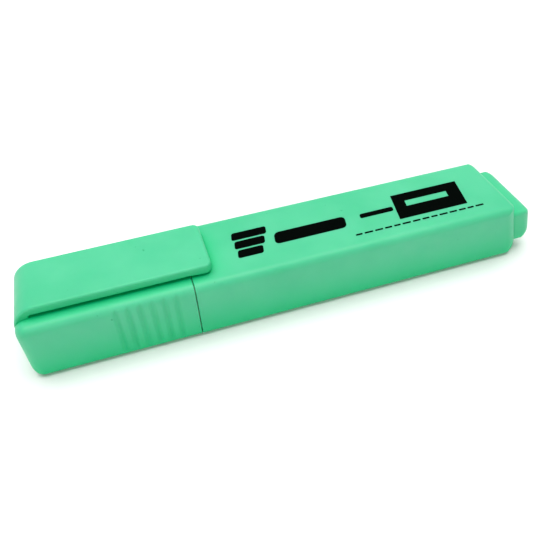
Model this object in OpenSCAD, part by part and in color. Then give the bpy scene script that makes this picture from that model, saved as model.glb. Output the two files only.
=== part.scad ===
// Flat highlighter marker with a push-on cap, a springy pocket clip and a stepped rear plug.
// It lies on one wide face with the clip on top. +X runs from the cap's closed end to the rear
// plug, Y goes across the width, and the origin is under the middle of the whole pen.

/* [Overall] */
// Length from the cap's closed end to the end of the rear plug
total_length = 123.4; // [100:0.2:150]
// Width of the cap and barrel
body_width = 21.8; // [18:0.1:27]
// Thickness of the cap and barrel, without the clip
body_height = 15.2; // [12.6:0.1:18.4]
// Radius along the long outside edges
edge_radius = 1.8; // [0.6:0.1:2.2]

/* [Cap] */
// Length of the cap
cap_length = 37.6; // [31:0.2:46]
// Wall on the cap's four sides
cap_wall = 1.2; // [0.95:0.05:1.5]
// Wall at the cap's closed end
cap_end_wall = 1.5; // [1:0.1:2.4]
// Rounding of the cap's closed end
cap_end_radius = 2.6; // [1.4:0.1:3.2]
// Number of finger grooves on each narrow side
groove_count = 6; // [3:1:8]
// Spacing of the finger grooves
groove_pitch = 2.6; // [2:0.05:3.2]
// Radius of each finger groove
groove_radius = 0.8; // [0.6:0.05:1.1]
// Depth of each finger groove
groove_depth = 0.4; // [0.2:0.05:0.55]
// Distance from the barrel's seam to the nearest groove
grip_offset = 4.2; // [3:0.1:7]

/* [Clip] */
// Reach of the clip past the cap's mouth
clip_overhang = 4.9; // [3.6:0.1:8]
// Step from the cap's narrow side to the clip's edge
clip_inset = 3.5; // [2.5:0.1:5]
// Thickness of the clip's blade
clip_thickness = 2.2; // [1.4:0.05:2.6]
// Gap between the blade and the cap
clip_gap = 0.6; // [0.5:0.05:1.6]
// Length of the clip's root on the cap
clip_root_length = 3.6; // [2.4:0.1:4.6]
// Radius of the bend over the clip's root
clip_bend_radius = 5.2; // [4.6:0.1:6.4]
// Length of the thick lip under the clip's tip
clip_lip_length = 2.4; // [2:0.1:3.6]
// Air between the lip and the barrel
clip_lip_air = 0.3; // [0.2:0.05:0.45]
// Corner radius of the clip's tip, seen from above
clip_tip_radius = 1.6; // [0.8:0.1:2.5]

/* [Barrel] */
// Wall of the barrel
barrel_wall = 1.5; // [1.2:0.05:1.9]
// Rake of the barrel's rear end and of the tab's end, in degrees
rear_rake = 15; // [0:1:20]
// Depth of solid material behind the barrel's cavity
barrel_end_wall = 6; // [5:0.1:8]
// Rounding of the barrel's rear end, seen from above
barrel_side_radius = 3.1; // [2:0.1:3.8]
// Rounding of the barrel's rear end at its upper edge
barrel_top_radius = 1.8; // [0.8:0.1:3]
// Rounding of the barrel's rear end at its lower edge
barrel_bottom_radius = 4; // [2:0.1:5.4]
// Thickness of the ribs that hold the reservoir
rib_thickness = 0.8; // [0.5:0.1:1.2]
// Distance of the upper and lower ribs from the middle
rib_offset = 4; // [2:0.25:4.8]

/* [End plug] */
// Length of the tab that shows behind the barrel
tab_length = 4.7; // [3.8:0.1:7]
// Step from the barrel's narrow side to the tab
tab_inset = 1.5; // [1.2:0.05:3]
// Step from the barrel's wide face to the tab
tab_drop = 3.05; // [2.5:0.05:3.7]
// Radius along the tab's edges
tab_radius = 1; // [0.5:0.1:1.3]
// Rounding of the tab's rear end, seen from above
tab_side_radius = 2.6; // [1.4:0.1:4.8]
// Rounding of the tab's rear end at its upper edge
tab_top_radius = 2.4; // [1:0.1:3]
// Rounding of the tab's rear end at its lower edge
tab_bottom_radius = 3.2; // [1.4:0.1:4]
// Depth of the tab's seat in the barrel, at mid height
tab_seat = 4.2; // [3.2:0.1:4.8]
// Width of the seat's shoulder all round
seat_step = 1.3; // [0.8:0.1:1.5]
// Wall of the hollow plug
plug_wall = 1.1; // [0.8:0.1:1.3]
// Length of the plug's spigot inside the barrel's cavity
spigot_reach = 1.6; // [1:0.2:3]

/* [Nozzle section] */
// Length of the neck that the cap slides on
neck_length = 9; // [7:0.5:11]
// Length of the sleeve pressed into the barrel
sleeve_length = 10; // [8:0.5:14]
// Wall of the neck and sleeve
neck_wall = 1.1; // [0.9:0.05:1.35]
// Least wall round the nib at the nozzle's tip
nozzle_wall = 0.55; // [0.4:0.05:0.8]
// Rise of the nozzle's radius from its tip to its sealing land
nozzle_rise = 0.8; // [0.4:0.05:1]
// Length of the nozzle's tapered tip
nozzle_taper_length = 5; // [3:0.5:6]
// Length of the guide tube behind the nozzle
guide_length = 8; // [4:0.5:8.5]
// Width of the air groove beside the nib
vent_width = 0.8; // [0.5:0.1:1.2]
// Depth of the air groove beside the nib
vent_depth = 0.45; // [0.3:0.05:0.5]

/* [Nib] */
// Width of the nib
nib_width = 5; // [4:0.1:6]
// Thickness of the nib
nib_thickness = 3.6; // [2.8:0.1:4.4]
// Reach of the nib in front of the nozzle
nib_reach = 8; // [6.6:0.2:9.6]
// Air between the nib's tip and the inner cap's base
nib_air = 3; // [1.5:0.25:4]
// Length of the wedge at the nib's tip
nib_wedge_length = 4.2; // [3:0.2:5]
// Thickness of the nib at its writing edge
nib_edge_thickness = 1; // [0.6:0.1:1.6]
// Set-back of the short corner of the chisel edge
nib_slant = 2.2; // [1:0.1:3]
// Depth of the nib in the reservoir
nib_dip = 3; // [2:0.25:5]

/* [Reservoir] */
// Corner radius of the fibre core
core_radius = 3.6; // [2:0.1:4]
// Thickness of the film round the core
film_thickness = 0.2; // [0.1:0.05:0.3]
// Bare fibre at each end of the film
film_setback = 1.2; // [0.5:0.1:3]
// How far the reservoir reaches into the sleeve
core_reach = 8; // [5:0.5:8.5]

/* [Inner cap] */
// Wall of the sealing cup
cup_wall = 0.55; // [0.45:0.05:0.7]
// Thickness of the cup's base plate
cup_base = 1.2; // [0.8:0.1:1.6]
// Air between the cup's rim and the nozzle's root
cup_air = 0.6; // [0.4:0.1:1.2]

/* [Clearances] */
// Gap between the cap's mouth and the barrel
seam_gap = 0.2; // [0.1:0.05:0.4]
// Gap around the neck inside the cap
cap_clearance = 0.1; // [0.06:0.01:0.15]
// Gap around pieces that are pressed together
press_clearance = 0.05; // [0.02:0.01:0.08]
// Gap around the reservoir inside the sleeve
reservoir_clearance = 0.3; // [0.2:0.05:0.5]
// Gap between the reservoir and the barrel's ribs
rib_clearance = 0.1; // [0.05:0.05:0.2]
// Gap between the sealing cup and the nozzle
seal_clearance = 0.04; // [0.02:0.01:0.08]

/* [Hidden] */
$fn = 64;
eps = 0.5;

// Stations along the pen
cap_end_x = -total_length / 2;
seam_x = cap_end_x + cap_length;
cap_mouth_x = seam_x - seam_gap / 2;
barrel_front_x = seam_x + seam_gap / 2;
tab_end_x = total_length / 2;
tab_h = body_height - 2 * tab_drop;
tab_mid_x = tab_end_x - raked_reach(tab_bottom_radius, tab_h);
barrel_end_x = tab_mid_x - tab_length;
tab_seat_x = barrel_end_x - tab_seat;
cavity_end_x = barrel_end_x - barrel_end_wall;
spigot_front_x = cavity_end_x - spigot_reach;
neck_front_x = barrel_front_x - neck_length;
sleeve_end_x = barrel_front_x + sleeve_length;
guide_end_x = neck_front_x + neck_wall + guide_length;
cup_base_x = cap_end_x + cap_end_wall;
nib_tip_x = cup_base_x + cup_base + nib_air;
nozzle_tip_x = nib_tip_x + nib_reach;
nozzle_length = neck_front_x - nozzle_tip_x;
core_front_x = sleeve_end_x - core_reach;
core_end_x = spigot_front_x - rib_clearance;

// Heights
mid_z = body_height / 2;
blade_low_z = body_height + clip_gap;
blade_top_z = blade_low_z + clip_thickness;

// Cap's bore, and the neck that slides in it
cap_bore_w = body_width - 2 * cap_wall;
cap_bore_h = body_height - 2 * cap_wall;
cap_bore_radius = 0.8;
neck_w = cap_bore_w - 2 * cap_clearance;
neck_h = cap_bore_h - 2 * cap_clearance;
neck_radius = cap_bore_radius - cap_clearance;

// Barrel's cavity, the sleeve in it and the reservoir in the sleeve
cavity_w = body_width - 2 * barrel_wall;
cavity_h = body_height - 2 * barrel_wall;
cavity_radius = 0.6;
sleeve_w = cavity_w - 2 * press_clearance;
sleeve_h = cavity_h - 2 * press_clearance;
hollow_w = sleeve_w - 2 * neck_wall;
hollow_h = sleeve_h - 2 * neck_wall;
film_w = hollow_w - 2 * reservoir_clearance;
film_h = hollow_h - 2 * reservoir_clearance;
core_w = film_w - 2 * film_thickness;
core_h = film_h - 2 * film_thickness;
core_round = min(core_radius, core_h / 2 - 0.2);
film_grip = 0.02;

// Rear plug: the tab, and the spigot that steps in behind its seat
tab_w = body_width - 2 * tab_inset;
throat_w = tab_w - 2 * seat_step;
throat_h = tab_h - 2 * seat_step;
throat_radius = 0.5;

// Nib's slot, and the nozzle round it
slot_w = nib_width + 2 * press_clearance;
slot_h = nib_thickness + 2 * press_clearance;
nozzle_tip_radius = norm([slot_w, slot_h]) / 2 + nozzle_wall;
nozzle_radius = nozzle_tip_radius + nozzle_rise;
nozzle_root_radius = nozzle_radius + 0.35;
nozzle_root_length = 1.2;
nozzle_root_slope = 0.6;

// Inner cap
cup_radius = nozzle_radius + seal_clearance;
cup_end_x = neck_front_x - nozzle_root_length - nozzle_root_slope - cup_air;

// Clip
clip_w = body_width - 2 * clip_inset;
clip_tip_x = seam_x + clip_overhang;
clip_hinge_x = cap_end_x + clip_bend_radius;
lip_low_z = body_height + clip_lip_air;
lip_radius = 0.8;
lip_slope = 3;

// How far a raked end's lower rounding reaches past the place where the end crosses mid height
function raked_reach(r, h) = r - raked_inset(r, h / 2 - r);

// Distance from where a raked end crosses mid height back to the centre of a rounding of radius r,
// which lies drop below that height, or above it where drop is negative
function raked_inset(r, drop) = (r - drop * sin(rear_rake)) / cos(rear_rake);

// A rounded rectangle about the origin
module rounded_rectangle(w, h, r) {
    square([w - 2 * r, h], center = true);
    square([w, h - 2 * r], center = true);
    for (sx = [-1, 1])
        for (sy = [-1, 1])
            translate([sx * (w / 2 - r), sy * (h / 2 - r)])
                circle(r = r);
}

// A straight bar along X with a rounded rectangular section
module bar(x0, x1, w, h, r) {
    translate([x0, 0, mid_z])
        rotate([90, 0, 90])
            linear_extrude(height = x1 - x0)
                rounded_rectangle(w, h, r);
}

// A strip in the XY plane from x_flat to x_end, with its corners rounded at x_end
module round_ended_strip(x_flat, x_end, w, r) {
    dir = x_end > x_flat ? 1 : -1;
    x_arc = x_end - dir * r;
    translate([min(x_flat, x_arc), -w / 2])
        square([abs(x_arc - x_flat), w]);
    translate([min(x_flat, x_end), r - w / 2])
        square([abs(x_end - x_flat), w - 2 * r]);
    for (side = [-1, 1])
        translate([x_arc, side * (w / 2 - r)])
            circle(r = r);
}

// A bar whose end at x_end is rounded in both directions
module soft_ended_bar(x_flat, x_end, w, h, r, end_r) {
    dir = x_end > x_flat ? 1 : -1;
    x_start = x_flat - dir * eps;
    intersection() {
        bar(min(x_flat, x_end), max(x_flat, x_end), w, h, r);
        translate([0, 0, mid_z])
            linear_extrude(height = h + 2 * eps, center = true)
                round_ended_strip(x_start, x_end, w, end_r);
        translate([0, 0, mid_z])
            across(w + 2 * eps)
                round_ended_strip(x_start, x_end, h, end_r);
    }
}

// Side outline of a bar with a raked end: x_mid is where the end crosses mid height
module raked_outline(x_flat, x_mid, h, top_r, bottom_r) {
    top_x = x_mid - raked_inset(top_r, top_r - h / 2);
    bottom_x = x_mid - raked_inset(bottom_r, h / 2 - bottom_r);
    top_z = h / 2 - top_r;
    bottom_z = bottom_r - h / 2;
    polygon([
        [x_flat, -h / 2],
        [bottom_x, -h / 2],
        [bottom_x + bottom_r * cos(rear_rake), bottom_z + bottom_r * sin(rear_rake)],
        [top_x + top_r * cos(rear_rake), top_z + top_r * sin(rear_rake)],
        [top_x, h / 2],
        [x_flat, h / 2]
    ]);
    translate([top_x, top_z])
        circle(r = top_r);
    translate([bottom_x, bottom_z])
        circle(r = bottom_r);
}

// A bar towards +X whose end is raked, and rounded at its sides, top and bottom
module raked_bar(x_flat, x_mid, w, h, r, side_r, top_r, bottom_r) {
    reach = x_mid - x_flat + h;
    intersection() {
        bar(x_flat, x_mid + h, w, h, r);
        translate([x_mid, 0, mid_z])
            rotate([0, -rear_rake, 0])
                linear_extrude(height = 2 * reach, center = true)
                    round_ended_strip(-reach, 0, w, side_r);
        translate([0, 0, mid_z])
            across(w + 2 * eps)
                raked_outline(x_flat - eps, x_mid, h, top_r, bottom_r);
    }
}

// An outline in the XZ plane carried across the width
module across(width) {
    rotate([90, 0, 0])
        linear_extrude(height = width, center = true)
            children();
}

// A round shape about the pen's axis, from x0 towards +X
module on_axis(x0) {
    translate([x0, 0, mid_z])
        rotate([0, 90, 0])
            children();
}

// Ribs inside the barrel that hold the reservoir: one at each side, two above and two below
module barrel_ribs() {
    x0 = sleeve_end_x + 2 * press_clearance;
    length = cavity_end_x - x0;
    side_inner = film_w / 2 + rib_clearance;
    face_inner = film_h / 2 + rib_clearance;
    side_depth = cavity_w / 2 + barrel_wall / 2 - side_inner;
    face_depth = cavity_h / 2 + barrel_wall / 2 - face_inner;
    for (side = [0, 1])
        mirror([0, side, 0]) {
            translate([x0, side_inner, mid_z - rib_thickness / 2])
                cube([length, side_depth, rib_thickness]);
            translate([x0, rib_offset - rib_thickness / 2, mid_z + face_inner])
                cube([length, rib_thickness, face_depth]);
            translate([x0, rib_offset - rib_thickness / 2, mid_z - face_inner - face_depth])
                cube([length, rib_thickness, face_depth]);
        }
}

module barrel() {
    color("mediumaquamarine") {
        difference() {
            raked_bar(barrel_front_x, barrel_end_x, body_width, body_height, edge_radius,
                      barrel_side_radius, barrel_top_radius, barrel_bottom_radius);
            bar(barrel_front_x - eps, cavity_end_x, cavity_w, cavity_h, cavity_radius);
            bar(cavity_end_x - eps, tab_end_x, throat_w, throat_h, throat_radius);
            bar(tab_seat_x, tab_end_x, tab_w + 2 * press_clearance,
                tab_h + 2 * press_clearance, tab_radius + press_clearance);
        }
        barrel_ribs();
    }
}

// Half outline of the nozzle: radius, and distance in front of the neck
module nozzle_profile() {
    land_end = nozzle_length - nozzle_taper_length;
    polygon([
        [0, -neck_wall / 2],
        [nozzle_root_radius, -neck_wall / 2],
        [nozzle_root_radius, nozzle_root_length],
        [nozzle_radius, nozzle_root_length + nozzle_root_slope],
        [nozzle_radius, land_end],
        [nozzle_tip_radius, nozzle_length],
        [0, nozzle_length]
    ]);
}

// The nozzle, with flats where the neck is thinner than it
module nozzle() {
    intersection() {
        translate([neck_front_x, 0, mid_z])
            rotate([0, -90, 0])
                rotate_extrude()
                    nozzle_profile();
        bar(nozzle_tip_x - eps, neck_front_x + neck_wall, neck_w, neck_h, neck_radius);
    }
}

// The slot for the nib, with an air groove above and below it
module nib_slot(x0, x1) {
    translate([x0, -slot_w / 2, mid_z - slot_h / 2])
        cube([x1 - x0, slot_w, slot_h]);
    translate([x0, -vent_width / 2, mid_z - slot_h / 2 - vent_depth])
        cube([x1 - x0, vent_width, slot_h + 2 * vent_depth]);
}

module nozzle_section() {
    color("honeydew")
        difference() {
            union() {
                difference() {
                    union() {
                        bar(neck_front_x, barrel_front_x, neck_w, neck_h, neck_radius);
                        bar(barrel_front_x - eps, sleeve_end_x, sleeve_w, sleeve_h,
                            cavity_radius - press_clearance);
                    }
                    bar(neck_front_x + neck_wall, sleeve_end_x + eps, hollow_w, hollow_h,
                        cavity_radius);
                }
                nozzle();
                on_axis(neck_front_x + neck_wall / 2)
                    cylinder(r = nozzle_tip_radius, h = neck_wall / 2 + guide_length);
            }
            nib_slot(nozzle_tip_x - eps, guide_end_x + eps);
        }
}

module nib() {
    half_w = nib_width / 2;
    half_t = nib_thickness / 2;
    half_edge = nib_edge_thickness / 2;
    rear_x = core_front_x + nib_dip;
    wedge_x = nib_tip_x + nib_wedge_length;
    color("aquamarine")
        intersection() {
            // Slanted chisel edge, seen from above
            linear_extrude(height = body_height)
                polygon([
                    [nib_tip_x, -half_w],
                    [rear_x, -half_w],
                    [rear_x, half_w],
                    [nib_tip_x + nib_slant, half_w]
                ]);
            // Wedge, seen from the side
            across(nib_width + 2 * eps)
                polygon([
                    [nib_tip_x, mid_z - half_edge],
                    [wedge_x, mid_z - half_t],
                    [rear_x, mid_z - half_t],
                    [rear_x, mid_z + half_t],
                    [wedge_x, mid_z + half_t],
                    [nib_tip_x, mid_z + half_edge]
                ]);
        }
}

module reservoir_core() {
    color("springgreen")
        difference() {
            bar(core_front_x, core_end_x, core_w, core_h, core_round);
            translate([core_front_x - eps, -slot_w / 2, mid_z - slot_h / 2])
                cube([nib_dip + press_clearance + eps, slot_w, slot_h]);
        }
}

module reservoir_film() {
    x0 = core_front_x + film_setback;
    x1 = core_end_x - film_setback;
    color("lightcyan")
        difference() {
            bar(x0, x1, film_w, film_h, core_round + film_thickness);
            bar(x0 - eps, x1 + eps, core_w + 2 * film_grip, core_h + 2 * film_grip,
                core_round + film_grip);
        }
}

module end_plug() {
    spigot_w = throat_w - 2 * press_clearance;
    spigot_h = throat_h - 2 * press_clearance;
    spigot_radius = throat_radius - press_clearance;
    color("mediumseagreen")
        difference() {
            union() {
                raked_bar(tab_seat_x, tab_mid_x, tab_w, tab_h, tab_radius,
                          tab_side_radius, tab_top_radius, tab_bottom_radius);
                bar(spigot_front_x, tab_seat_x + eps, spigot_w, spigot_h, spigot_radius);
            }
            bar(spigot_front_x - eps, tab_mid_x - 2 * plug_wall, spigot_w - 2 * plug_wall,
                spigot_h - 2 * plug_wall, spigot_radius / 2);
        }
}

// Finger grooves on both narrow sides of the cap, from the mouth towards the closed end
module finger_grooves() {
    groove_y = body_width / 2 + groove_radius - groove_depth;
    for (i = [0 : groove_count - 1])
        for (side = [-1, 1])
            translate([seam_x - grip_offset - i * groove_pitch, side * groove_y, -eps])
                cylinder(r = groove_radius, h = body_height + 2 * eps);
}

// The bend that carries the clip, moulded with the cap's closed end
module clip_root() {
    bend_z = blade_top_z - clip_bend_radius;
    flat_z = body_height - cap_end_radius;
    across(clip_w) {
        difference() {
            intersection() {
                translate([clip_hinge_x, bend_z])
                    circle(r = clip_bend_radius);
                translate([cap_end_x, bend_z])
                    square(clip_bend_radius);
            }
            translate([cap_end_x + clip_root_length, body_height])
                square([clip_bend_radius, clip_gap]);
        }
        translate([cap_end_x, min(flat_z, bend_z)])
            square([clip_root_length, max(bend_z - flat_z, 0) + eps]);
    }
}

module cap_shell() {
    color("aquamarine")
        difference() {
            union() {
                soft_ended_bar(cap_mouth_x, cap_end_x, body_width, body_height,
                               edge_radius, cap_end_radius);
                clip_root();
            }
            bar(cap_end_x + cap_end_wall, cap_mouth_x + eps, cap_bore_w, cap_bore_h,
                cap_bore_radius);
            finger_grooves();
        }
}

// The cup has flats where the cap is thinner than it
module inner_cap() {
    flange_w = cap_bore_w - 2 * press_clearance;
    flange_h = cap_bore_h - 2 * press_clearance;
    flange_radius = cap_bore_radius - press_clearance;
    color("white")
        difference() {
            union() {
                bar(cup_base_x, cup_base_x + cup_base, flange_w, flange_h, flange_radius);
                intersection() {
                    on_axis(cup_base_x + cup_base / 2)
                        cylinder(r = cup_radius + cup_wall, h = cup_end_x - cup_base_x - cup_base / 2);
                    bar(cup_base_x, cup_end_x + eps, flange_w, flange_h, flange_radius);
                }
            }
            on_axis(cup_base_x + cup_base)
                cylinder(r = cup_radius, h = cup_end_x - cup_base_x);
        }
}

// The clip's outline seen from the side: blade, rounded tip and the lip under it
module clip_side() {
    lip_x = clip_tip_x - clip_lip_length;
    blade_mid_z = blade_low_z + clip_thickness / 2;
    translate([clip_hinge_x, blade_low_z])
        square([clip_tip_x - lip_radius - clip_hinge_x, clip_thickness]);
    polygon([
        [lip_x - lip_slope, blade_low_z],
        [lip_x, lip_low_z],
        [clip_tip_x - lip_radius, lip_low_z],
        [clip_tip_x - lip_radius, blade_mid_z],
        [lip_x - lip_slope, blade_mid_z]
    ]);
    translate([clip_tip_x - 2 * lip_radius, lip_low_z + lip_radius])
        square([2 * lip_radius, blade_top_z - lip_low_z - 2 * lip_radius]);
    for (z = [lip_low_z + lip_radius, blade_top_z - lip_radius])
        translate([clip_tip_x - lip_radius, z])
            circle(r = lip_radius);
}

module clip() {
    color("palegreen")
        intersection() {
            across(clip_w)
                clip_side();
            linear_extrude(height = blade_top_z + eps)
                round_ended_strip(clip_hinge_x - eps, clip_tip_x, clip_w, clip_tip_radius);
        }
}

barrel();
nozzle_section();
nib();
reservoir_core();
reservoir_film();
end_plug();
cap_shell();
inner_cap();
clip();
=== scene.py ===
import math

import bmesh
import bpy
from mathutils import Matrix, Vector


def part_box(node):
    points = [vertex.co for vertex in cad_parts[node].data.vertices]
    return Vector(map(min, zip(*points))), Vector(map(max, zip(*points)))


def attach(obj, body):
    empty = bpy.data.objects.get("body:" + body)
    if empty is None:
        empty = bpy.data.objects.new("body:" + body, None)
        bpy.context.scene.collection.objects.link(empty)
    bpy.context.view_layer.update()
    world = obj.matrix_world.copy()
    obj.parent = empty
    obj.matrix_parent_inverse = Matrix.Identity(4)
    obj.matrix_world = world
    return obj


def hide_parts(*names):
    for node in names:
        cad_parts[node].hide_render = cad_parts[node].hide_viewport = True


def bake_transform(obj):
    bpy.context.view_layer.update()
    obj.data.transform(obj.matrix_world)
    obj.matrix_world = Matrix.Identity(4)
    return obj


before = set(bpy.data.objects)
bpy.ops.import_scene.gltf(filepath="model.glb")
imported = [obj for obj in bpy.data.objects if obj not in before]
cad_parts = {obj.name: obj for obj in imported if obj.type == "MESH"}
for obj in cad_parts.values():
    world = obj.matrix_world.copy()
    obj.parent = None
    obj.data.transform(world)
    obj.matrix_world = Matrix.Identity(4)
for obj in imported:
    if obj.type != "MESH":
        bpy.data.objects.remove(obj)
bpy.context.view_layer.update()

MM = 0.001
SHARP_ANGLE = math.radians(38)
MERGE_DISTANCE = 1e-7
ARC_STEPS = 8
# Reach of the painted shade that darkens hollows in the plastic materials.
PAINTED_SHADE_REACH = 12 * MM
FLAT_SHARES = (0.04, 0.3, 0.7, 0.96)

# Where the CAD pieces are, in metres
barrel_low, barrel_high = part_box("barrel")
cap_low, cap_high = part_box("cap_shell")
plug_low, plug_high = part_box("end_plug")
clip_low, clip_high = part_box("clip")
neck_low, neck_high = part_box("nozzle_section")
nib_low, nib_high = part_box("nib")
core_low, core_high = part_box("reservoir_core")
film_low, film_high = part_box("reservoir_film")
cup_low, cup_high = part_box("inner_cap")
half_w = barrel_high.y
body_h = barrel_high.z
mid_z = body_h / 2

# Cap
CAP_WALL = 1.2 * MM
CAP_END_WALL = 1.5 * MM
CAP_END_RADIUS = 2.6 * MM
CAP_CORNER_SHRINK = 0.3
EDGE_RADIUS = 1.8 * MM
BORE_RADIUS = 0.8 * MM
MOUTH_ROUND = 0.12 * MM
MOUTH_LEAD = 0.3 * MM
GROOVES = 6
GROOVE_PITCH = 2.6 * MM
GROOVE_DEPTH = 0.4 * MM
GROOVE_SHARPNESS = 2.2
GROOVE_FOOT = 0.3 * MM
GROOVE_RISE = 2.2 * MM
GRIP_OFFSET = 4.2 * MM
seam_x = (barrel_low.x + cap_high.x) / 2

# Clip
CLIP_THICKNESS = 2.2 * MM
CLIP_ROOT_LENGTH = 3.6 * MM
CLIP_EDGE = 0.5 * MM
CLIP_TIP_RADIUS = 1.6 * MM
CLIP_FOOT = 0.6 * MM
CLIP_SINK = 0.1 * MM
CLIP_SKIN = 0.06 * MM
CLIP_FILLET = 0.25 * MM
LIP_ROUND = 0.8 * MM
LIP_LENGTH = 2.4 * MM
LIP_SLOPE = 3 * MM

# Barrel and end plug, whose rear ends are raked: shorter at the top
BARREL_WALL = 1.5 * MM
BARREL_END_WALL = 6.0 * MM
RAKE = math.radians(15)
BARREL_ROUNDS = (3.1 * MM, 1.8 * MM, 4.0 * MM)
TAB_ROUNDS = (2.6 * MM, 2.4 * MM, 3.2 * MM)
TAB_SEAT = 4.2 * MM
TAB_RADIUS = 1.0 * MM
TAB_CLOSE = 0.48 * MM
SEAT_STEP = 1.3 * MM
SEAT_LAND = 1.2 * MM
PLUG_WALL = 1.1 * MM
PLUG_SHOULDER = 0.15 * MM
PRESS = 0.05 * MM
LEAD_IN = 0.1 * MM
CAVITY_RADIUS = 0.6 * MM
THROAT_RADIUS = 0.5 * MM
SPIGOT_RADIUS = 0.45 * MM
HOLLOW_RADIUS = 0.3 * MM
BARREL_RAKED_LENGTH = 6.2 * MM
TAB_RAKED_LENGTH = 5.2 * MM

# Print on the barrel's top face
INK_THICKNESS = 0.012 * MM
INK_SINK = 0.02 * MM
PRINT_LEAN = 0.2
BLOCK_LEAN = 0.19
DASHES = 14

# Nozzle section and nib
NECK_WALL = 1.1 * MM
NOZZLE_WALL = 0.55 * MM
NOZZLE_RISE = 0.8 * MM
NOZZLE_TAPER = 5.0 * MM
NOZZLE_ROUND = 0.3 * MM
COLLAR_BACK = 1.8 * MM
COLLAR_RISE = 0.35 * MM
NECK_LENGTH = 9.0 * MM
NECK_RADIUS = 0.7 * MM
NECK_ROUND = 0.4 * MM
BEAD_BACK = 2.6 * MM
BEAD_HALF_LENGTH = 0.5 * MM
BEAD_RISE = 0.08 * MM
SLEEVE_RADIUS = 0.55 * MM
GUIDE_LENGTH = 8.0 * MM
SLOT_RADIUS = 0.25 * MM
SLOT_FLARE = 0.12 * MM
AIR_GROOVE_HALF_WIDTH = 0.4 * MM
AIR_GROOVE_DEPTH = 0.45 * MM
AIR_GROOVE_RADIUS = 0.12 * MM
NIB_WEDGE = 4.2 * MM
NIB_EDGE = 1.0 * MM
NIB_SLANT = 2.2 * MM
NIB_RADIUS = 0.45 * MM
NIB_ROUND = 0.3 * MM

# Reservoir and inner cap
CORE_RADIUS = 3.6 * MM
CORE_CHAMFER = 0.4 * MM
FILM_CLEARANCE = 0.02 * MM
CUP_WALL = 0.55 * MM
CUP_BASE = 1.2 * MM
CUP_FOOT = 0.5 * MM
CUP_CLEARANCE = 0.04 * MM
FLANGE_RADIUS = 0.75 * MM


# ---------------------------------------------------------------- mesh tools

def rounded(half_u, half_v, radius, arc=ARC_STEPS, flat=FLAT_SHARES):
    """Points (u, v) round a rounded rectangle: arc steps to a corner, and flat's shares along each side."""
    radius = min(radius, half_u, half_v)
    corners = []
    for quarter in range(4):
        cu = (half_u - radius) * (1, -1, -1, 1)[quarter]
        cv = (half_v - radius) * (1, 1, -1, -1)[quarter]
        turn = [math.pi / 2 * (quarter + i / arc) for i in range(arc + 1)]
        corners.append([(cu + radius * math.cos(a), cv + radius * math.sin(a)) for a in turn])
    points = []
    for here, after in zip(corners, corners[1:] + corners[:1]):
        points += here
        a, b = here[-1], after[0]
        points += [tuple(p + (q - p) * f for p, q in zip(a, b)) for f in flat]
    return points


def section(x, half_u, half_v, radius):
    """A rounded rectangular ring across the pen at x."""
    return [(x, u, mid_z + v) for u, v in rounded(half_u, half_v, radius)]


def circle(x, radius):
    """A round ring about the pen's axis at x."""
    return section(x, radius, radius, radius)


def mesh_object(name, bm):
    """A finished object from bm: merged, facing outwards, smooth with its sharp edges kept."""
    bmesh.ops.remove_doubles(bm, verts=bm.verts, dist=MERGE_DISTANCE)
    bmesh.ops.dissolve_degenerate(bm, edges=bm.edges, dist=MERGE_DISTANCE)
    bmesh.ops.recalc_face_normals(bm, faces=bm.faces)
    for face in bm.faces:
        face.smooth = True
    for edge in bm.edges:
        edge.smooth = edge.calc_face_angle(0) < SHARP_ANGLE
    mesh = bpy.data.meshes.new(name)
    bm.to_mesh(mesh)
    bm.free()
    piece = bpy.data.objects.new(name, mesh)
    bpy.context.scene.collection.objects.link(piece)
    weigh = piece.modifiers.new("weighted_normals", "WEIGHTED_NORMAL")
    weigh.keep_sharp = True
    return piece


def skin(bm, rings, loop=False):
    """Joins rings of equal count with quads, and closes both ends unless the rings loop."""
    rows = [[bm.verts.new(p) for p in ring] for ring in rings]
    for a, b in zip(rows, rows[1:] + (rows[:1] if loop else [])):
        for i in range(len(a)):
            j = (i + 1) % len(a)
            bm.faces.new((a[i], a[j], b[j], b[i]))
    if not loop:
        bm.faces.new(reversed(rows[0]))
        bm.faces.new(rows[-1])


def lofted(name, rings, loop=False):
    """An object skinned over rings."""
    bm = bmesh.new()
    skin(bm, rings, loop)
    return mesh_object(name, bm)


def steps(start, end, count):
    """count + 1 evenly spaced values from start to end."""
    return [start + (end - start) * i / count for i in range(count + 1)]


def quarter_round(radius, count):
    """(setback, inset) pairs along a quarter circle, from full width to the end."""
    turns = steps(0, math.pi / 2, count)
    return [(radius * (1 - math.sin(a)), radius * (1 - math.cos(a))) for a in turns]


# ---------------------------------------------------------------- cap and clip

def groove_inset(x):
    """How far the cap's narrow sides are cut back at x by the finger grooves."""
    inset = 0
    for i in range(GROOVES):
        away = abs(x - (seam_x - GRIP_OFFSET - i * GROOVE_PITCH)) / GROOVE_PITCH
        if away < 0.5:
            inset += GROOVE_DEPTH * (0.5 + 0.5 * math.cos(2 * math.pi * away)) ** GROOVE_SHARPNESS
    return inset


def grooved_section(x):
    """The cap's outside at x: its sides cut back by the grooves, which fade out near the lower edge."""
    points = []
    for u, v in rounded(half_w, mid_z, EDGE_RADIUS):
        fade = min(1, max(0, (v + mid_z - GROOVE_FOOT) / GROOVE_RISE))
        limit = half_w - groove_inset(x) * fade * fade * (3 - 2 * fade)
        points.append((x, max(-limit, min(limit, u)), mid_z + v))
    return points


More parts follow.
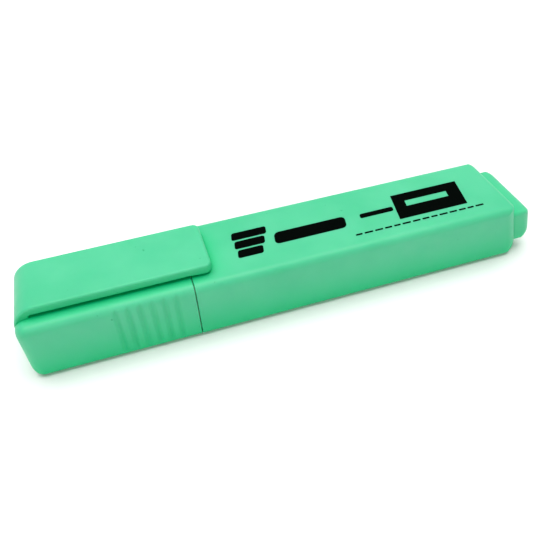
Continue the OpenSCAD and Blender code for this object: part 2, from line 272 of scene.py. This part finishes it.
def make_cap():
    """The cap as one wall: up its bore, round its mouth, back over the grooves and round its closed end."""
    end_x = cap_low.x
    mouth_x = cap_high.x
    bore_u = half_w - CAP_WALL
    bore_v = mid_z - CAP_WALL
    grip_end = seam_x - GRIP_OFFSET + GROOVE_PITCH / 2
    grip_start = grip_end - GROOVES * GROOVE_PITCH
    bore = steps(end_x + CAP_END_WALL, mouth_x - MOUTH_LEAD, 5)
    rings = [section(x, bore_u, bore_v, BORE_RADIUS) for x in bore]
    rings.append(section(mouth_x, bore_u + MOUTH_ROUND, bore_v + MOUTH_ROUND, BORE_RADIUS + MOUTH_ROUND))
    for back, inset in reversed(quarter_round(MOUTH_ROUND, 3)):
        rings.append(section(mouth_x - back, half_w - inset, mid_z - inset, EDGE_RADIUS - inset))
    stations = steps(mouth_x - 0.4 * MM, grip_end, 3)
    stations += steps(grip_end, grip_start, GROOVES * 20)[1:]
    stations += steps(grip_start, end_x + CAP_END_RADIUS, 6)[1:-1]
    for x in stations:
        rings.append(grooved_section(x))
    for back, inset in quarter_round(CAP_END_RADIUS, 10):
        corner = EDGE_RADIUS - CAP_CORNER_SHRINK * inset
        rings.append(section(end_x + back, half_w - inset, mid_z - inset, corner))
    return lofted("cap_moulding", rings)


def clip_ladder():
    """Pairs of (outer point, inner point) in XZ from the clip's foot in the cap to its blade."""
    end_x = cap_low.x
    bend_x = clip_low.x
    radius = bend_x - end_x
    top_z = clip_high.z
    bend_z = top_z - radius
    under_z = top_z - CLIP_THICKNESS
    slot_x = end_x + CLIP_ROOT_LENGTH
    wall_x = end_x + CAP_END_WALL - CLIP_SINK
    roof_z = body_h - CAP_WALL + CLIP_SINK
    foot_z = bend_z - CLIP_FOOT
    pairs = [((end_x + CLIP_SKIN, foot_z), (wall_x, foot_z))]
    inner = [(wall_x, z) for z in steps(bend_z, roof_z - 0.2 * MM, 3)]
    inner += [(slot_x, z) for z in steps(roof_z, body_h, 3)]
    corner = min(CLIP_FILLET, under_z - body_h)
    inner += [(slot_x + corner * (1 - math.cos(a)), under_z - corner * (1 - math.sin(a)))
              for a in steps(0, math.pi / 2, 4)]
    inner += [(x, under_z) for x in steps(slot_x + corner, bend_x + 0.4 * MM, 4)[1:]]
    for i, low in enumerate(inner):
        a = math.pi / 2 * i / (len(inner) - 1)
        pairs.append(((bend_x - radius * math.cos(a), top_z - radius * (1 - math.sin(a))), low))
    return pairs


def clip_ring(outer, inner, half, edge):
    """A rounded ring across the clip through an outer and an inner point."""
    ox, oz = outer
    ix, iz = inner
    cx, cz = (ox + ix) / 2, (oz + iz) / 2
    dx, dz = (ox - ix) / 2, (oz - iz) / 2
    thick = math.hypot(dx, dz)
    return [(cx + dx * v / thick, u, cz + dz * v / thick) for u, v in rounded(half, thick, edge)]


def make_clip():
    """The clip's root, bend, blade and lip as one sheet that bends near its root."""
    half = clip_high.y
    tip_x = clip_high.x
    top_z = clip_high.z
    low_z = clip_low.z
    under_z = top_z - CLIP_THICKNESS
    lip_x = tip_x - LIP_LENGTH
    rings = [clip_ring(a, b, half, CLIP_EDGE) for a, b in clip_ladder()]
    start_x = rings[-1][0][0] + 1.2 * MM
    for x in steps(start_x, lip_x - LIP_SLOPE - 0.3 * MM, 24):
        rings.append(clip_ring((x, top_z), (x, under_z), half, CLIP_EDGE))
    slope = steps(lip_x - LIP_SLOPE, lip_x, 8)
    for x in slope:
        share = (x - slope[0]) / LIP_SLOPE
        ease = share * share * (3 - 2 * share)
        rings.append(clip_ring((x, top_z), (x, under_z + (low_z - under_z) * ease), half, CLIP_EDGE))
    for turn in steps(0, math.pi / 2, 14):
        back = CLIP_TIP_RADIUS * (1 - math.sin(turn))
        x = tip_x - back
        side = half - CLIP_TIP_RADIUS * (1 - math.cos(turn))
        into = max(0, LIP_ROUND - back)
        drop = LIP_ROUND - math.sqrt(max(0, LIP_ROUND ** 2 - into ** 2))
        rings.append(clip_ring((x, top_z - drop), (x, low_z + drop), side, CLIP_EDGE))
    return lofted("pocket_clip", rings)


# ---------------------------------------------------------------- barrel and end plug

def raked_mid(end_x, half_v, low_r):
    """Where a raked end crosses mid height, for a bar that reaches end_x at its lower rounding."""
    return end_x - low_r + (low_r - (half_v - low_r) * math.sin(RAKE)) / math.cos(RAKE)


def edge_centre(mid_x, half_v, r, side):
    """Centre (x, v) of a raked end's upper (side 1) or lower (side -1) rounding."""
    v = side * (half_v - r)
    return mid_x - (r + v * math.sin(RAKE)) / math.cos(RAKE), v


def edge_height(share, mid_x, half_v, r, side, open_v):
    """Height reached after a share of the way round an edge and over the raked face to open_v."""
    _, cv = edge_centre(mid_x, half_v, r, side)
    tangent = side * (cv + r * math.sin(RAKE))
    sweep = math.pi / 2 - side * RAKE
    if open_v > tangent:
        sweep = math.pi / 2 - math.asin((open_v - (half_v - r)) / r)
    run = share * (r * sweep + max(0, tangent - open_v) / math.cos(RAKE))
    if run < r * sweep:
        return cv + side * r * math.cos(run / r)
    return side * (tangent - (run - r * sweep) * math.cos(RAKE))


def outline_x(v, mid_x, half_v, top_r, low_r):
    """How far a raked bar reaches at height v."""
    for r, side in ((top_r, 1), (low_r, -1)):
        cx, cv = edge_centre(mid_x, half_v, r, side)
        if side * v > side * (cv + r * math.sin(RAKE)):
            return cx + math.sqrt(max(0, r * r - (v - cv) ** 2))
    return mid_x - v * math.tan(RAKE)


def raked_ring(share, mid_x, half_u, half_v, rounds, open_u, open_v, corner):
    """A ring on a raked rear end: share 0 is at full width and 1 is at the half sizes open_u, open_v."""
    side_r, top_r, low_r = rounds
    turn = share * math.acos(1 - min(1, (half_u - open_u) / side_r))
    u_half = half_u - side_r * (1 - math.cos(turn))
    top_v = edge_height(share, mid_x, half_v, top_r, 1, open_v)
    low_v = edge_height(share, mid_x, half_v, low_r, -1, open_v)
    centre = (top_v + low_v) / 2
    points = []
    for u, v in rounded(u_half, (top_v - low_v) / 2, corner):
        face_x = mid_x - (centre + v) * math.tan(RAKE)
        outline_back = face_x - outline_x(centre + v, mid_x, half_v, top_r, low_r)
        into = max(0, abs(u) - (half_u - side_r))
        side_back = (side_r - math.sqrt(max(0, side_r ** 2 - into ** 2))) / math.cos(RAKE)
        points.append((face_x - math.hypot(outline_back, side_back), u, mid_z + centre + v))
    return points


def make_barrel():
    """The barrel as one wall: its cavity and the plug's seat, then the raked end and back to its mouth."""
    front_x = barrel_low.x
    mid_x = raked_mid(barrel_high.x, mid_z, BARREL_ROUNDS[2])
    cavity_end = mid_x - BARREL_END_WALL
    seat_x = mid_x - TAB_SEAT
    cavity = (half_w - BARREL_WALL, mid_z - BARREL_WALL, CAVITY_RADIUS)
    mouth = tuple(size + LEAD_IN for size in cavity)
    open_u = plug_high.y + PRESS
    open_v = plug_high.z - mid_z + PRESS
    seat = (open_u, open_v, TAB_RADIUS + PRESS)
    throat = (open_u - SEAT_STEP - PRESS, open_v - SEAT_STEP - PRESS, THROAT_RADIUS)

    def rear(share, wider):
        return raked_ring(share, mid_x, half_w, mid_z, BARREL_ROUNDS, open_u + wider, open_v + wider,
                          EDGE_RADIUS + share * (TAB_RADIUS + PRESS + wider - EDGE_RADIUS))

    rings = [section(front_x, *mouth)]
    rings += [section(x, *cavity) for x in steps(front_x + LEAD_IN, cavity_end, 6)]
    rings += [section(x, *throat) for x in (cavity_end, seat_x)]
    rings += [section(x, *seat) for x in (seat_x, seat_x + SEAT_LAND)]
    rings.append([(x - LEAD_IN, y, z) for x, y, z in rear(1, 0)])
    rings += [rear(share, LEAD_IN) for share in steps(1, 0, 20)]
    for x in steps(mid_x - BARREL_RAKED_LENGTH, front_x + 0.5 * MM, 24):
        rings.append(section(x, half_w, mid_z, EDGE_RADIUS))
    for back, inset in quarter_round(MOUTH_ROUND, 3):
        rings.append(section(front_x + back, half_w - inset, mid_z - inset, EDGE_RADIUS - inset))
    return lofted("barrel_moulding", rings, loop=True)


def make_end_plug():
    """The rear plug: a hollow spigot, and the stepped tab with its raked end."""
    tab_u = plug_high.y
    tab_v = plug_high.z - mid_z
    seat_x = raked_mid(barrel_high.x, mid_z, BARREL_ROUNDS[2]) - TAB_SEAT
    mid_x = raked_mid(plug_high.x, tab_v, TAB_ROUNDS[2])
    spigot = (tab_u - SEAT_STEP - PRESS, tab_v - SEAT_STEP - PRESS, SPIGOT_RADIUS)
    hollow = (spigot[0] - PLUG_WALL, spigot[1] - PLUG_WALL, HOLLOW_RADIUS)
    rings = [section(x, *hollow) for x in (mid_x - 2 * PLUG_WALL, plug_low.x)]
    rings += [section(x, *spigot) for x in (plug_low.x, seat_x)]
    rings.append(section(seat_x, tab_u - PLUG_SHOULDER, tab_v - PLUG_SHOULDER, TAB_RADIUS))
    for x in steps(seat_x + PLUG_SHOULDER, mid_x - TAB_RAKED_LENGTH, 5):
        rings.append(section(x, tab_u, tab_v, TAB_RADIUS))
    close_u = tab_u - TAB_ROUNDS[0]
    for share in steps(0, 1, 18):
        rings.append(raked_ring(share, mid_x, tab_u, tab_v, TAB_ROUNDS, close_u, TAB_CLOSE, TAB_RADIUS))
    return lofted("rear_plug", rings)


# ---------------------------------------------------------------- nozzle, nib and reservoir

def slot_size():
    """Half width and half height of the slot that holds the nib."""
    return nib_high.y + PRESS, nib_high.z - mid_z + PRESS


def nozzle_radius():
    """The nozzle's radius at its tip."""
    return math.hypot(*slot_size()) + NOZZLE_WALL


def nozzle_rings(tip_x, neck_front):
    """The round outside of the nozzle, from its tip back to the neck."""
    tip_r = nozzle_radius()
    land_r = tip_r + NOZZLE_RISE
    land_x = tip_x + NOZZLE_TAPER
    collar_x = neck_front - COLLAR_BACK
    collar_r = land_r + COLLAR_RISE
    rings = [circle(tip_x + back, tip_r - inset) for back, inset in reversed(quarter_round(NOZZLE_ROUND, 4))]
    for x in steps(tip_x + 0.8 * MM, land_x, 3):
        rings.append(circle(x, tip_r + (land_r - tip_r) * (x - tip_x) / NOZZLE_TAPER))
    rings += [circle(x, land_r) for x in steps(land_x + 0.3 * MM, collar_x, 4)]
    rings += [circle(x, collar_r) for x in (collar_x + 0.6 * MM, neck_front - 0.35 * MM)]
    rings += [circle(neck_front - 0.12 * MM, collar_r + 0.06 * MM), circle(neck_front, collar_r + 0.3 * MM)]
    return rings


def neck_rings(neck_front):
    """The neck that the cap slides on, with the low bead that the cap snaps over."""
    neck_u = half_w - CAP_WALL - 0.1 * MM
    neck_v = mid_z - CAP_WALL - 0.1 * MM
    rings = [section(neck_front + back, neck_u - inset, neck_v - inset, NECK_RADIUS)
             for back, inset in reversed(quarter_round(NECK_ROUND, 5))]
    bead_x = barrel_low.x - BEAD_BACK
    for x in steps(neck_front + 0.6 * MM, barrel_low.x - 0.1 * MM, 40):
        away = abs(x - bead_x) / BEAD_HALF_LENGTH
        swell = BEAD_RISE * (0.5 + 0.5 * math.cos(math.pi * min(1, away)))
        rings.append(section(x, neck_u + swell, neck_v + swell, NECK_RADIUS))
    rings.append(section(barrel_low.x, neck_u, neck_v, NECK_RADIUS))
    return rings


def make_nozzle_section():
    """Nozzle, neck and the hollow sleeve that is pressed into the barrel, with the nib's guide inside."""
    neck_front = barrel_low.x - NECK_LENGTH
    tip_x = neck_low.x
    sleeve_end = neck_high.x
    slot_u, slot_v = slot_size()
    slot = (slot_u, slot_v, SLOT_RADIUS)
    sleeve = (half_w - BARREL_WALL - PRESS, mid_z - BARREL_WALL - PRESS, SLEEVE_RADIUS)
    hollow = (sleeve[0] - NECK_WALL, sleeve[1] - NECK_WALL, CAVITY_RADIUS)
    guide_end = neck_front + NECK_WALL + GUIDE_LENGTH
    rings = [section(x, *slot) for x in (guide_end, (guide_end + tip_x) / 2, tip_x + 0.3 * MM)]
    rings.append(section(tip_x, slot_u + SLOT_FLARE, slot_v + SLOT_FLARE, 0.35 * MM))
    rings += nozzle_rings(tip_x, neck_front)
    rings += neck_rings(neck_front)
    rings.append(section(barrel_low.x, *sleeve))
    rings += [section(x, *sleeve) for x in steps(barrel_low.x + 0.3 * MM, sleeve_end, 4)]
    rings += [section(x, *hollow) for x in steps(sleeve_end, neck_front + NECK_WALL, 6)]
    rings += [circle(x, nozzle_radius()) for x in (neck_front + NECK_WALL, guide_end)]
    piece = lofted("nozzle_moulding", rings, loop=True)
    return cut(piece, tip_x - 1 * MM, guide_end + 1 * MM, AIR_GROOVE_HALF_WIDTH, slot_v + AIR_GROOVE_DEPTH)


def cut(piece, x0, x1, half_u, half_v):
    """Cuts a straight slot along the pen through piece: the air grooves above and below the nib."""
    bm = bmesh.new()
    skin(bm, [section(x, half_u, half_v, AIR_GROOVE_RADIUS) for x in (x0, x1)])
    cutter = mesh_object("air_groove_cutter", bm)
    cutter.modifiers.clear()
    piece.modifiers.clear()
    tool = piece.modifiers.new("air_groove", "BOOLEAN")
    tool.operation = "DIFFERENCE"
    tool.solver = "EXACT"
    tool.object = cutter
    result = bpy.data.meshes.new_from_object(piece.evaluated_get(bpy.context.evaluated_depsgraph_get()))
    bpy.data.objects.remove(cutter)
    name = piece.name
    bpy.data.objects.remove(piece)
    bm = bmesh.new()
    bm.from_mesh(result)
    return mesh_object(name, bm)


def make_nib():
    """A chisel: a flat bar that tapers to a slanted edge."""
    half_u = nib_high.y
    half_v = nib_high.z - mid_z
    tip_x = nib_low.x
    wedge_x = tip_x + NIB_WEDGE

    def thickness(x):
        return NIB_EDGE / 2 + (half_v - NIB_EDGE / 2) * min(1, max(0, (x - tip_x) / NIB_WEDGE))

    def ring(x, share, shrink=0):
        points = []
        for u, v in rounded(half_u - shrink, half_v, NIB_RADIUS):
            px = x + share * NIB_SLANT * (u + half_u) / (2 * half_u)
            points.append((px, u, mid_z + v / half_v * (thickness(px) - shrink)))
        return points

    rings = [ring(x, 0) for x in steps(nib_high.x, wedge_x + 0.2 * MM, 12)]
    rings += [ring(x, (wedge_x - x) / NIB_WEDGE) for x in steps(wedge_x, tip_x + 0.45 * MM, 10)]
    rings += [ring(tip_x + back, 1, inset) for back, inset in quarter_round(NIB_ROUND, 5)]
    return lofted("chisel_nib", rings)


def make_reservoir():
    """The ink core with its chamfered ends, and the film sleeve round it."""
    core_u = core_high.y
    core_v = core_high.z - mid_z
    end_size = (core_u - CORE_CHAMFER, core_v - CORE_CHAMFER, CORE_RADIUS - CORE_CHAMFER)
    rings = [section(core_low.x, *end_size)]
    for x in steps(core_low.x + CORE_CHAMFER, core_high.x - CORE_CHAMFER, 16):
        rings.append(section(x, core_u, core_v, CORE_RADIUS))
    rings.append(section(core_high.x, *end_size))
    core = lofted("ink_core", rings)
    film_u = film_high.y
    film_v = film_high.z - mid_z
    wall = film_u - core_u - FILM_CLEARANCE
    outside = (film_u, film_v, CORE_RADIUS + wall)
    inside = (film_u - wall, film_v - wall, CORE_RADIUS)
    rings = [section(x, *outside) for x in steps(film_low.x, film_high.x, 16)]
    rings += [section(x, *inside) for x in steps(film_high.x, film_low.x, 16)]
    return core, lofted("core_film", rings, loop=True)


def make_inner_cap():
    """A round sealing cup on a flat flange that fills the cap's end."""
    base_x = cup_low.x
    rim_x = cup_high.x
    floor_x = base_x + CUP_BASE
    bore = nozzle_radius() + NOZZLE_RISE + CUP_CLEARANCE
    outer = bore + CUP_WALL
    flange = (cup_high.y, cup_high.z - mid_z, FLANGE_RADIUS)
    rings = [section(x, *flange) for x in (base_x, floor_x)]
    rings += [circle(floor_x + inset, outer + back) for back, inset in reversed(quarter_round(CUP_FOOT, 5))]
    rings += [circle(x, outer) for x in steps(floor_x + 1 * MM, rim_x - 0.2 * MM, 6)]
    lip = CUP_WALL / 2
    for a in steps(0, math.pi, 8):
        rings.append(circle(rim_x - lip + lip * math.sin(a), bore + lip + lip * math.cos(a)))
    rings += [circle(x, bore) for x in steps(rim_x - 1 * MM, floor_x, 6)]
    return lofted("sealing_cup", rings)


# ---------------------------------------------------------------- print

def ink_plate(bm, corners):
    """A thin closed film of ink on the barrel's top face with these (x, y) corners, in millimetres."""
    low = [bm.verts.new((x * MM, y * MM, body_h - INK_SINK)) for x, y in corners]
    high = [bm.verts.new((x * MM, y * MM, body_h + INK_THICKNESS)) for x, y in corners]
    bm.faces.new(reversed(low))
    bm.faces.new(high)
    for i in range(len(low)):
        j = (i + 1) % len(low)
        bm.faces.new((low[i], low[j], high[j], high[i]))


def leaning_bar(x0, x1, y0, y1, lean=0.0, radius=0.0):
    """Corners of a bar from x0 to x1 at y = 0, which leans along X by lean for each unit of Y."""
    cx, cy = (x0 + x1) / 2, (y0 + y1) / 2
    half_x, half_y = (x1 - x0) / 2, (y1 - y0) / 2
    if radius:
        points = rounded(half_x, half_y, radius, arc=6, flat=())
    else:
        points = [(half_x, half_y), (-half_x, half_y), (-half_x, -half_y), (half_x, -half_y)]
    return [(cx + u + lean * (cy + v), cy + v) for u, v in points]


def make_print():
    """Plain shapes placed in millimetres: three strokes, two bars, a slotted block and a row of dashes."""
    bm = bmesh.new()
    for i, (y0, y1) in enumerate(((1.5, 4.1), (-1.6, 1.0), (-4.7, -2.1))):
        ink_plate(bm, leaning_bar(-13.1 + 0.6 * i, -4.7 - 0.6 * i, y0, y1, PRINT_LEAN, 0.6))
    ink_plate(bm, leaning_bar(-3.0, 14.6, -3.0, 1.0, PRINT_LEAN, 1.2))
    ink_plate(bm, leaning_bar(18.4, 27.0, -1.2, 0.4, PRINT_LEAN, 0.5))
    for x0, x1, y0, y1 in ((27.6, 45.4, 1.4, 4.3), (27.6, 45.4, -4.7, -0.6),
                           (27.6, 30.6, -0.6, 1.4), (41.8, 45.4, -0.6, 1.4)):
        ink_plate(bm, leaning_bar(x0, x1, y0, y1, BLOCK_LEAN))
    x = 16.0
    for i in range(DASHES):
        length = 1.65 + 0.5 * ((i * 7) % 4) / 3
        ink_plate(bm, leaning_bar(x, x + length, -6.65, -6.1, PRINT_LEAN, 0.2))
        x += length + 0.5
    return mesh_object("barrel_print", bm)


# ---------------------------------------------------------------- materials

def node(tree, kind, **values):
    """A shader node with its properties and inputs set: an input is named with its spaces as underscores."""
    made = tree.nodes.new(kind)
    for key, value in values.items():
        if hasattr(made, key):
            setattr(made, key, value)
        else:
            made.inputs[key.replace("_", " ")].default_value = value
    return made


def noise(tree, scale, detail=2.0, stretch=(1, 1, 1)):
    """Noise in the object's own metres; scale is in features a metre."""
    place = node(tree, "ShaderNodeTexCoord")
    mapping = node(tree, "ShaderNodeMapping", Scale=stretch)
    texture = node(tree, "ShaderNodeTexNoise", Scale=scale, Detail=detail)
    tree.links.new(place.outputs["Object"], mapping.inputs["Vector"])
    tree.links.new(mapping.outputs["Vector"], texture.inputs["Vector"])
    return texture.outputs["Fac"]


def spread(tree, value, low, high, out_low=0.0, out_high=1.0):
    """Maps value from low..high to out_low..out_high, clamped."""
    mapped = node(tree, "ShaderNodeMapRange")
    mapped.inputs["From Min"].default_value = low
    mapped.inputs["From Max"].default_value = high
    mapped.inputs["To Min"].default_value = out_low
    mapped.inputs["To Max"].default_value = out_high
    tree.links.new(value, mapped.inputs["Value"])
    return mapped.outputs["Result"]


def blend_colours(tree, share, first, second):
    """A mix of two colours, or of one colour and an earlier mix, by share."""
    mix = node(tree, "ShaderNodeMix", data_type="RGBA")
    tree.links.new(share, mix.inputs["Factor"])
    sockets = [s for s in mix.inputs if s.type == "RGBA"]
    for socket, colour in zip(sockets, (first, second)):
        if isinstance(colour, tuple):
            socket.default_value = (*colour, 1)
        else:
            tree.links.new(colour, socket)
    return [s for s in mix.outputs if s.type == "RGBA"][0]


def bump(tree, height, distance, under=None):
    """A normal roughened by height, distance deep in metres, over an earlier normal if there is one."""
    made = node(tree, "ShaderNodeBump", Strength=1.0, Distance=distance)
    tree.links.new(height, made.inputs["Height"])
    if under:
        tree.links.new(under, made.inputs["Normal"])
    return made.outputs["Normal"]


def new_material(name):
    """A new material with its node tree and its shader."""
    material = bpy.data.materials.new(name)
    material.use_nodes = True
    tree = material.node_tree
    return material, tree, tree.nodes["Principled BSDF"]


def moulded_plastic(name, light, deep, speck, hollow, roughness=0.4, subsurface=0.3):
    """Satin plastic: cloudy pigment, with painted shade in hollows (the hollow colour, deeper and more
    saturated, mixed in by ambient occlusion), faint specks, a fine skin and slight waves.
    """
    material, tree, shader = new_material(name)
    clouds = spread(tree, noise(tree, 70, 3), 0.35, 0.65)
    colour = blend_colours(tree, clouds, deep, light)
    specks = spread(tree, noise(tree, 700, 1), 0.79, 0.81)
    colour = blend_colours(tree, specks, colour, speck)
    # Painted shade: where other surfaces are near, the ambient occlusion mask swaps the colour for the hollow
    # colour. This darkens creases, slots and the gaps between parts.
    painted_shade_ao = node(tree, "ShaderNodeAmbientOcclusion", samples=8, Distance=PAINTED_SHADE_REACH)
    colour = blend_colours(tree, spread(tree, painted_shade_ao.outputs["AO"], 0.5, 1.0), hollow, colour)
    tree.links.new(colour, shader.inputs["Base Color"])
    patches = spread(tree, noise(tree, 260, 4), 0.3, 0.7, roughness - 0.05, roughness + 0.07)
    tree.links.new(patches, shader.inputs["Roughness"])
    waves = bump(tree, noise(tree, 110, 1), 0.00012)
    grain = bump(tree, noise(tree, 3200, 2), 0.000012, under=waves)
    tree.links.new(grain, shader.inputs["Normal"])
    shader.inputs["Subsurface Weight"].default_value = subsurface
    shader.inputs["Subsurface Radius"].default_value = (0.2, 1.0, 0.5)
    shader.inputs["Subsurface Scale"].default_value = 0.0025
    shader.inputs["Specular IOR Level"].default_value = 0.27
    shader.inputs["IOR"].default_value = 1.49
    return material


def fibre(name, light, deep, along=0.12):
    """Pressed fibre: strands along the pen, soaked with ink."""
    material, tree, shader = new_material(name)
    strands = noise(tree, 6500, 4, stretch=(along, 1, 1))
    patches = noise(tree, 500, 3)
    colour = blend_colours(tree, spread(tree, strands, 0.3, 0.7), deep, light)
    colour = blend_colours(tree, spread(tree, patches, 0.45, 0.8, 0, 0.4), colour, deep)
    tree.links.new(colour, shader.inputs["Base Color"])
    tree.links.new(bump(tree, strands, 0.00008), shader.inputs["Normal"])
    shader.inputs["Roughness"].default_value = 0.75
    shader.inputs["Sheen Weight"].default_value = 0.15
    return material


def clear_film(name):
    """Thin, slightly hazy film with faint wrinkles along the pen."""
    material, tree, shader = new_material(name)
    haze = spread(tree, noise(tree, 400, 3), 0.3, 0.7, 0.1, 0.22)
    tree.links.new(haze, shader.inputs["Roughness"])
    wrinkles = noise(tree, 900, 2, stretch=(0.2, 1, 1))
    tree.links.new(bump(tree, wrinkles, 0.00003), shader.inputs["Normal"])
    shader.inputs["Base Color"].default_value = (0.75, 0.93, 0.85, 1)
    shader.inputs["Alpha"].default_value = 0.5
    return material


def printed_ink(name):
    """Matt, nearly black ink with a fine grain."""
    material, tree, shader = new_material(name)
    dots = noise(tree, 4500, 2)
    colour = blend_colours(tree, spread(tree, dots, 0.3, 0.7), (0.001, 0.002, 0.0015), (0.002, 0.003, 0.0025))
    tree.links.new(colour, shader.inputs["Base Color"])
    tree.links.new(spread(tree, dots, 0.3, 0.7, 0.5, 0.62), shader.inputs["Roughness"])
    shader.inputs["Specular IOR Level"].default_value = 0.0
    tree.links.new(bump(tree, dots, 0.000006), shader.inputs["Normal"])
    return material


# ---------------------------------------------------------------- stage

def make_camera():
    """A close camera over the near side, turned a little towards the cap and rolled a few degrees."""
    azimuth, elevation, roll = math.radians(-15.255), math.radians(43.775), math.radians(-3.32)
    distance = 149.16 * MM
    aim = Vector((-3.43, 3.73, 0.96)) * MM
    back = Vector((math.sin(azimuth) * math.cos(elevation), -math.cos(azimuth) * math.cos(elevation),
                   math.sin(elevation)))
    data = bpy.data.cameras.new("camera")
    data.sensor_width = 36
    data.lens = 39.416
    data.clip_start = 0.005
    data.clip_end = 20
    camera = bpy.data.objects.new("camera", data)
    turn = back.to_track_quat("Z", "Y").to_matrix() @ Matrix.Rotation(roll, 3, "Z")
    camera.matrix_world = Matrix.Translation(aim + back * distance) @ turn.to_4x4()
    bpy.context.scene.collection.objects.link(camera)
    bpy.context.scene.camera = camera


def area_light(name, place, aim, size, power):
    """A soft rectangular light at place that faces aim, both in metres."""
    data = bpy.data.lights.new(name, "AREA")
    data.shape = "RECTANGLE"
    data.size, data.size_y = size
    data.energy = power
    light = bpy.data.objects.new(name, data)
    light.location = place
    light.rotation_euler = (Vector(aim) - Vector(place)).to_track_quat("-Z", "Y").to_euler()
    bpy.context.scene.collection.objects.link(light)


def make_world():
    """A plain white room that is brighter round its walls than overhead."""
    world = bpy.data.worlds.new("studio")
    world.use_nodes = True
    tree = world.node_tree
    background = tree.nodes["Background"]
    background.inputs["Color"].default_value = (1, 1, 1, 1)
    direction = node(tree, "ShaderNodeTexCoord")
    split = node(tree, "ShaderNodeSeparateXYZ")
    tree.links.new(direction.outputs["Generated"], split.inputs["Vector"])
    tree.links.new(spread(tree, split.outputs["Z"], 0.05, 0.4, 0.95, 0.25), background.inputs["Strength"])
    return world


def make_floor():
    """A plain pale floor at z = 0, which the pen lies on."""
    bm = bmesh.new()
    bmesh.ops.create_grid(bm, x_segments=1, y_segments=1, size=3)
    mesh = bpy.data.meshes.new("floor")
    bm.to_mesh(mesh)
    bm.free()
    floor = bpy.data.objects.new("floor", mesh)
    bpy.context.scene.collection.objects.link(floor)
    material, tree, shader = new_material("pale_floor")
    tone = blend_colours(tree, noise(tree, 3, 2), (0.93, 0.93, 0.93), (0.95, 0.95, 0.95))
    tree.links.new(tone, shader.inputs["Base Color"])
    shader.inputs["Roughness"].default_value = 0.9
    shader.inputs["Specular IOR Level"].default_value = 0.1
    floor.data.materials.append(material)


def make_stage():
    """The floor, two soft lights, the room, and plain colour handling."""
    make_floor()
    area_light("overhead", (0.0, 0.1, 0.75), (0, 0, 0), (0.9, 0.7), 8.2)
    area_light("front_fill", (-0.25, -0.7, 0.55), (0, 0, 0), (0.5, 0.4), 1.0)
    scene = bpy.context.scene
    scene.world = make_world()
    scene.view_settings.view_transform = "Standard"


# ---------------------------------------------------------------- assembly

def place(piece, body, material, replaced=(), slot=None):
    """Gives piece its material and its body, and hides the CAD nodes it stands for."""
    piece.data.materials.clear()
    piece.data.materials.append(material)
    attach(piece, body)
    if replaced:
        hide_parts(*replaced)


make_camera()
make_stage()

# Each hollow colour below is painted shade, laid into creases, slots and recesses.
mint = moulded_plastic("mint_plastic", light=(0.086, 0.545, 0.292), deep=(0.066, 0.510, 0.262),
                       speck=(0.035, 0.40, 0.19), hollow=(0.0, 0.53, 0.20))
natural = moulded_plastic("natural_plastic", light=(0.80, 0.85, 0.80), deep=(0.74, 0.80, 0.75),
                          speck=(0.6, 0.7, 0.62), hollow=(0.62, 0.72, 0.62), roughness=0.38, subsurface=0.2)
seal = moulded_plastic("seal_plastic", light=(0.82, 0.86, 0.82), deep=(0.77, 0.82, 0.78),
                       speck=(0.6, 0.7, 0.62), hollow=(0.62, 0.72, 0.62), roughness=0.45, subsurface=0.2)
nib_felt = fibre("nib_fibre", light=(0.16, 0.75, 0.42), deep=(0.06, 0.52, 0.25))
core_felt = fibre("core_fibre", light=(0.25, 0.82, 0.52), deep=(0.1, 0.6, 0.33))

place(make_barrel(), "barrel", mint, ["barrel"], "body_plastic")
place(make_end_plug(), "barrel", mint, ["end_plug"], "body_plastic")
place(make_print(), "barrel", printed_ink("printed_ink"))
place(make_nozzle_section(), "barrel", natural, ["nozzle_section"], "nozzle_plastic")
place(make_nib(), "barrel", nib_felt, ["nib"], "nib_fibre")
ink_core, core_film = make_reservoir()
place(ink_core, "barrel", core_felt, ["reservoir_core"], "reservoir_fibre")
place(core_film, "barrel", clear_film("clear_film"), ["reservoir_film"], "film")
place(make_cap(), "cap", mint, ["cap_shell"], "body_plastic")
place(make_inner_cap(), "cap", seal, ["inner_cap"], "seal_plastic")

clip = make_clip()
clip.data.materials.append(mint)
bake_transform(clip)
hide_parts("clip")
